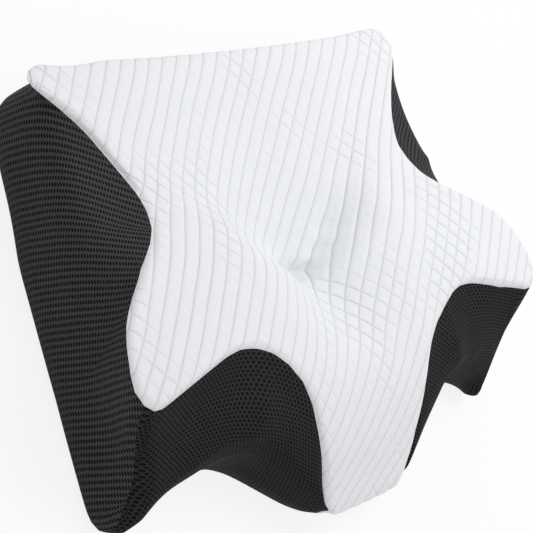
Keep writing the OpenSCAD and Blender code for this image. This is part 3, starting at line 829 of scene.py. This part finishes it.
def narrow_opening(mesh):
    """Draws in both ends of the cover's opening for the zip, so that it is no longer than the tapes behind it."""
    low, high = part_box("zip_tape_upper")
    for i in {i for key, faces in edge_counts(mesh.polygons).items() if faces == 1 for i in key}:
        place = mesh.vertices[i].co
        if place.y > low.y - OPENING_FRONT and low.z - OPENING_BELOW < place.z < high.z + OPENING_ABOVE:
            place.x = min(max(place.x, low.x + OPENING_END), high.x - OPENING_END)
    mesh.update()


def cover_surface():
    """The whole cover as one smooth, settled surface, each face marked with its panel, and how it settled."""
    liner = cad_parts["inner_liner"].data
    bm = outer_faces(tree_of(liner, liner.polygons))
    even_out(bm, sizes().longest_edge)
    mesh = divided(creased(mesh_of(bm, "cover")), "cover")
    lift_seams(mesh)
    settling = Settling(mesh)
    settle(mesh, settling, points_of(mesh, TOP))
    mesh = divided(creased(flatten_top(mesh, settling)), "cover")
    narrow_opening(mesh)
    return mesh, settling


def seam_distances(mesh):
    """The distance of each point of the cover from the nearest seam."""
    sides = {}
    for face in mesh.polygons:
        for key in face.edge_keys:
            sides.setdefault(key, set()).add(face.material_index)
    seam = [key for key, panels in sides.items() if len(panels) > 1]
    points = [v.co for v in mesh.vertices]
    tree = KDTree(len(seam))
    for i, (a, b) in enumerate(seam):
        tree.insert((points[a] + points[b]) / 2, i)
    tree.balance()
    distances = np.zeros(len(points), np.float32)
    for k, p in enumerate(points):
        near = math.inf
        for _, i, _ in tree.find_n(p, 2):
            a, b = points[seam[i][0]], points[seam[i][1]]
            share = max(0.0, min(1.0, (p - a).dot(b - a) / max((b - a).length_squared, 1e-12)))
            near = min(near, (p - a.lerp(b, share)).length)
        distances[k] = near
    return distances


def cloth_place(mesh):
    """Where each point of the quilted top lies on its flat cloth. The lines sway a little, as sewn lines do."""
    corners, drawn = corners_of(mesh), numbers(mesh.uv_layers["cloth"].data, "uv", 2)
    flat = np.zeros((len(mesh.vertices), 2))
    for face in faces_of(mesh, TOP):
        span = slice(face.loop_start, face.loop_start + face.loop_total)
        flat[corners[span]] = drawn[span]
    waves, layers = 22, (0.3, 7.1)
    for place in flat:
        x, y = place * waves
        place += [sizes().line_sway * noise.noise((x, y, layer)) for layer in layers]
    return flat


def quilting(flat):
    """How far the quilting puffs out at each point of the flat cloth, from 0 on a plain stitch line to 1. The
    lines that cross those are shallower."""
    puffs, shallow = [], 0.45
    for way in (-1, 1):
        place = (flat[:, 0] + way * flat[:, 1]) * math.sqrt(0.5) / sizes().quilt_pitch
        off = np.abs(place + 0.5 - np.floor(place + 0.5) - 0.5) * 2
        puffs.append(1 - (1 - off) ** 3)
    return np.minimum(puffs[0], 1 - shallow + shallow * puffs[1])


def wall_place(points, foot):
    """Where each point of a wall lies on its flat cloth: along its foot, and up from it. The foot is straightened
    first, as straight cloth was cut to the wall's curved edges. A wall leans, so the way up it is made of the
    height and of the way inwards."""
    upright, leaning = 0.8, 0.6
    line = foot[:, :2].copy()
    for _ in range(sizes().straightening):
        line[1:-1] = (line[:-2] + 2 * line[1:-1] + line[2:]) / 4
    steps = line[1:] - line[:-1]
    lengths = np.linalg.norm(steps, axis=1)
    starts = np.concatenate([[0], np.cumsum(lengths)[:-1]])
    best = np.full(len(points), np.inf)
    inward = np.zeros(len(points))
    along = np.zeros(len(points))
    last = len(steps) - 1
    for i, (a, step, length, start) in enumerate(zip(line[:-1], steps, lengths, starts)):
        off = points[:, :2] - a
        low, high = (-OPEN_END if i == 0 else 0), (OPEN_END if i == last else 1)
        share = np.clip(off @ step / max(length * length, 1e-12), low, high)
        away = np.linalg.norm(off - share[:, None] * step, axis=1)
        nearer = away < best
        best[nearer] = away[nearer]
        side = step[0] * off[nearer, 1] - step[1] * off[nearer, 0]
        inward[nearer] = away[nearer] * np.sign(side)
        along[nearer] = start + share[nearer] * length
    chord = line[-1] - line[0]
    if chord[1] * line[0, 0] - chord[0] * line[0, 1] < 0:
        inward = -inward
    return np.column_stack([along, upright * points[:, 2] + leaning * inward])


def foot_line(mesh, faces):
    """The line of points along the foot of a wall, from one end to the other."""
    count = edge_counts(faces)
    low = min(mesh.vertices[i].co.z for key in count for i in key)
    after = {}
    for (a, b), n in count.items():
        if n == 1 and max(mesh.vertices[a].co.z, mesh.vertices[b].co.z) < low + FOOT_BAND:
            after.setdefault(a, []).append(b)
            after.setdefault(b, []).append(a)
    ends = [mesh.vertices[i] for i, found in after.items() if len(found) == 1]
    end = min(ends, key=lambda v: (round(-v.co.y, 3), v.co.x)).index
    line, previous = [end], None
    while True:
        onward = [i for i in after[line[-1]] if i != previous]
        if not onward:
            break
        previous = line[-1]
        line.append(onward[0])
    return np.array([mesh.vertices[i].co for i in line])


def refined(mesh, longest):
    """A mesh with its long edges cut once, and its own values kept."""
    bm = bmesh.new()
    bm.from_mesh(mesh)
    edges = [e for e in bm.edges if not e.is_boundary and e.calc_length() > longest]
    bmesh.ops.subdivide_edges(bm, edges=edges, cuts=1, use_grid_fill=True)
    bm.to_mesh(mesh)
    bm.free()
    return mesh


def puff_up(mesh):
    """Raises the quilting between its stitch lines, and lets it die away at the seams."""
    flat = np.zeros((len(mesh.vertices), 2))
    flat[corners_of(mesh)] = numbers(mesh.uv_layers["cloth"].data, "uv", 2)
    distances = numbers(mesh.attributes["seam_distance"].data, "value", 1)
    fade = 1 - np.exp(-(distances / SEAM_FADE) ** 2)
    puff = quilting(flat)[:, None] * sizes().quilt_height * fade
    move_points(mesh, numbers(mesh.vertices, "co", 3) + numbers(mesh.vertices, "normal", 3) * puff)


def piece_from(mesh, node, faces, used, flat, distances, material):
    """One panel of the cover as a piece of its own, from its faces and the points that they use, with its flat
    cloth's map and its distance from the seams."""
    fresh = {old: new for new, old in enumerate(used)}
    panel = bpy.data.meshes.new("cover_" + node)
    panel.from_pydata([mesh.vertices[i].co for i in used], [], [[fresh[i] for i in f.vertices] for f in faces])
    draw_cloth(panel, flat)
    seam = panel.attributes.new("seam_distance", "FLOAT", "POINT")
    seam.data.foreach_set("value", distances[used])
    if node == TOP:
        puff_up(refined(panel, sizes().quilt_edge))
    panel.shade_smooth()
    panel.materials.append(material)
    return placed(panel, panel.name)


def tucked_in(mesh, cover, margin):
    """A hidden layer, drawn in where it lies nearer than twice the margin to the cover, and never through it. It
    stays as it is behind the zip, where the cover is open."""
    tree = tree_of(cover, cover.polygons)
    low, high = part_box("zip_tape_upper")
    for v in mesh.vertices:
        if v.co.y > low.y - BARE_FRONT and v.co.z < high.z + BARE_ROUND and abs(v.co.x) < high.x + BARE_ROUND:
            continue
        place, normal, _, _ = tree.find_nearest(v.co)
        depth = (place - v.co).dot(normal)
        if depth < 2 * margin:
            v.co -= normal * (margin - depth / 2)
    mesh.update()
    return mesh


def soft_solid(node, name, material, settling, cover):
    """A hidden soft layer, smoothed from its solid, settled with the cover and tucked in under it."""
    bm = bmesh.new()
    bm.from_mesh(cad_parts[node].data)
    bmesh.ops.remove_doubles(bm, verts=bm.verts[:], dist=FINE_WELD)
    joined(bm)
    mesh = tucked_in(settle(divided(mesh_of(bm, name), name), settling), cover, sizes().tuck)
    mesh.shade_smooth()
    mesh.materials.clear()
    mesh.materials.append(material)
    piece = placed(mesh, name)
    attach(piece, "cushion")
    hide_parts(node)
    return piece


def add_lamp(name, size, energy, place):
    """A round lamp that shines at the pillow."""
    lamp = placed(bpy.data.lights.new(name, "AREA"), name)
    lamp.data.shape = "DISK"
    lamp.data.size = size
    lamp.data.energy = energy
    lamp.location = place
    lamp.rotation_euler = Vector(place).to_track_quat("Z", "Y").to_euler()


# ---- operators ----

class PILLOW_OT_cover(bpy.types.Operator):
    """Makes the quilted top, the mesh walls and the base from one smooth surface, and the foam and liner in it"""

    bl_idname = "pillow.cover"
    bl_label = "Cover"
    bl_options = {"REGISTER", "UNDO"}

    def execute(self, context):
        mesh, settling = cover_surface()
        distances = seam_distances(mesh)
        points = numbers(mesh.vertices, "co", 3)
        top_cloth = cloth_place(mesh)
        coarse = mesh_material("spacer mesh", shine=1.5, across=(0.0006, 0.0019), along=(0.0044, -0.0014),
                               hole=(0.0015, 0.00062))
        fine = mesh_material("fine spacer mesh", shine=0.75, across=(0.0019, 0.0026), along=(-0.0019, 0.0026),
                             hole=(0.0012, 0.0010))
        materials = dict.fromkeys(SIDES + [BACK], coarse) | dict.fromkeys(FRONTS, fine)
        materials |= {TOP: quilt_material(), BASE: base_material()}
        for node in PANELS:
            faces = faces_of(mesh, node)
            used = sorted({i for f in faces for i in f.vertices})
            if node in (TOP, BASE):
                cloth = top_cloth[used]
            else:
                cloth = wall_place(points[used], foot_line(mesh, faces))
            piece = piece_from(mesh, node, faces, used, cloth, distances, materials[node])
            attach(piece, "cushion")
            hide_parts(node)
        soft_solid("foam_core", "foam", foam_material(), settling, mesh)
        soft_solid("inner_liner", "liner", liner_material(), settling, mesh)
        bpy.data.meshes.remove(mesh)
        return {"FINISHED"}


class PILLOW_OT_zip(bpy.types.Operator):
    """Gives the zip's pieces their finishes"""

    bl_idname = "pillow.zip"
    bl_label = "Zip"
    bl_options = {"REGISTER", "UNDO"}

    def execute(self, context):
        for material, nodes in (
                (tape_material(), ("zip_tape_upper", "zip_tape_lower")),
                (teeth_material(), ("zip_teeth_upper", "zip_teeth_lower")),
                (enamel_material(), ("zip_top_stops", "zip_bottom_stop", "zip_slider", "zip_pull"))):
            for node in nodes:
                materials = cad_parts[node].data.materials
                materials.clear()
                materials.append(material)
        return {"FINISHED"}


class PILLOW_OT_stage(bpy.types.Operator):
    """Makes the floor, the lamps and the camera"""

    bl_idname = "pillow.stage"
    bl_label = "Stage"
    bl_options = {"REGISTER", "UNDO"}

    def execute(self, context):
        stage = context.scene.pillow_stage
        bm = bmesh.new()
        bmesh.ops.create_grid(bm, x_segments=1, y_segments=1, size=6)
        floor = mesh_of(bm, "floor")
        floor.materials.append(floor_material(stage.floor_white))
        placed(floor, "floor")
        power = stage.key_strength
        add_lamp("key lamp", size=1.2, energy=power, place=(0.75, 0.35, 1.5))
        add_lamp("fill lamp", size=1.0, energy=power * stage.fill_share, place=(-1.3, -0.5, 0.75))
        world = bpy.data.worlds.new("studio")
        world.use_nodes = True
        sky = world.node_tree.nodes["Background"]
        sky.inputs["Color"].default_value = (1, 1, 1, 1)
        sky.inputs["Strength"].default_value = stage.sky_strength
        context.scene.world = world
        context.scene.view_settings.view_transform = "Standard"
        camera = placed(bpy.data.cameras.new("camera"), "camera")
        a, e, r = stage.azimuth, stage.elevation, stage.roll
        back = Vector((math.sin(a) * math.cos(e), -math.cos(a) * math.cos(e), math.sin(e)))
        right = Vector((math.cos(a), math.sin(a), 0))
        up = back.cross(right)
        turned_right = right * math.cos(r) + up * math.sin(r)
        turned_up = up * math.cos(r) - right * math.sin(r)
        turn = Matrix((turned_right, turned_up, back)).transposed()
        camera.matrix_world = Matrix.Translation(Vector(stage.target) + back * stage.distance) @ turn.to_4x4()
        camera.data.lens = stage.lens
        camera.data.sensor_width = 36
        camera.data.clip_end = 30
        context.scene.camera = camera
        return {"FINISHED"}


class PILLOW_PT_sidebar(bpy.types.Panel):
    """Lists the pillow's sizes, colours and steps"""

    bl_label = "Neck Pillow"
    bl_idname = "PILLOW_PT_sidebar"
    bl_space_type = "VIEW_3D"
    bl_region_type = "UI"
    bl_category = "Pillow"

    def draw(self, context):
        for group in (context.scene.pillow_shape, context.scene.pillow_finish, context.scene.pillow_stage):
            box = self.layout.box()
            for key in group.__annotations__:
                box.prop(group, key)
        for operator in STEPS:
            self.layout.operator(operator.bl_idname)


STEPS = (PILLOW_OT_stage, PILLOW_OT_cover, PILLOW_OT_zip)
GROUPS = {"pillow_shape": PillowShape, "pillow_finish": PillowFinish, "pillow_stage": PillowStage}


def register():
    for group in GROUPS.values():
        bpy.utils.register_class(group)
    for kind in (*STEPS, PILLOW_PT_sidebar):
        bpy.utils.register_class(kind)
    for key, group in GROUPS.items():
        setattr(bpy.types.Scene, key, bpy.props.PointerProperty(type=group))


def unregister():
    for key in GROUPS:
        delattr(bpy.types.Scene, key)
    for kind in (PILLOW_PT_sidebar, *reversed(STEPS)):
        bpy.utils.unregister_class(kind)
    for group in GROUPS.values():
        bpy.utils.unregister_class(group)


def main():
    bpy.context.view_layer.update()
    register()
    bpy.ops.pillow.stage()
    bpy.ops.pillow.cover()
    bpy.ops.pillow.zip()


if __name__ == "__main__":
    main()
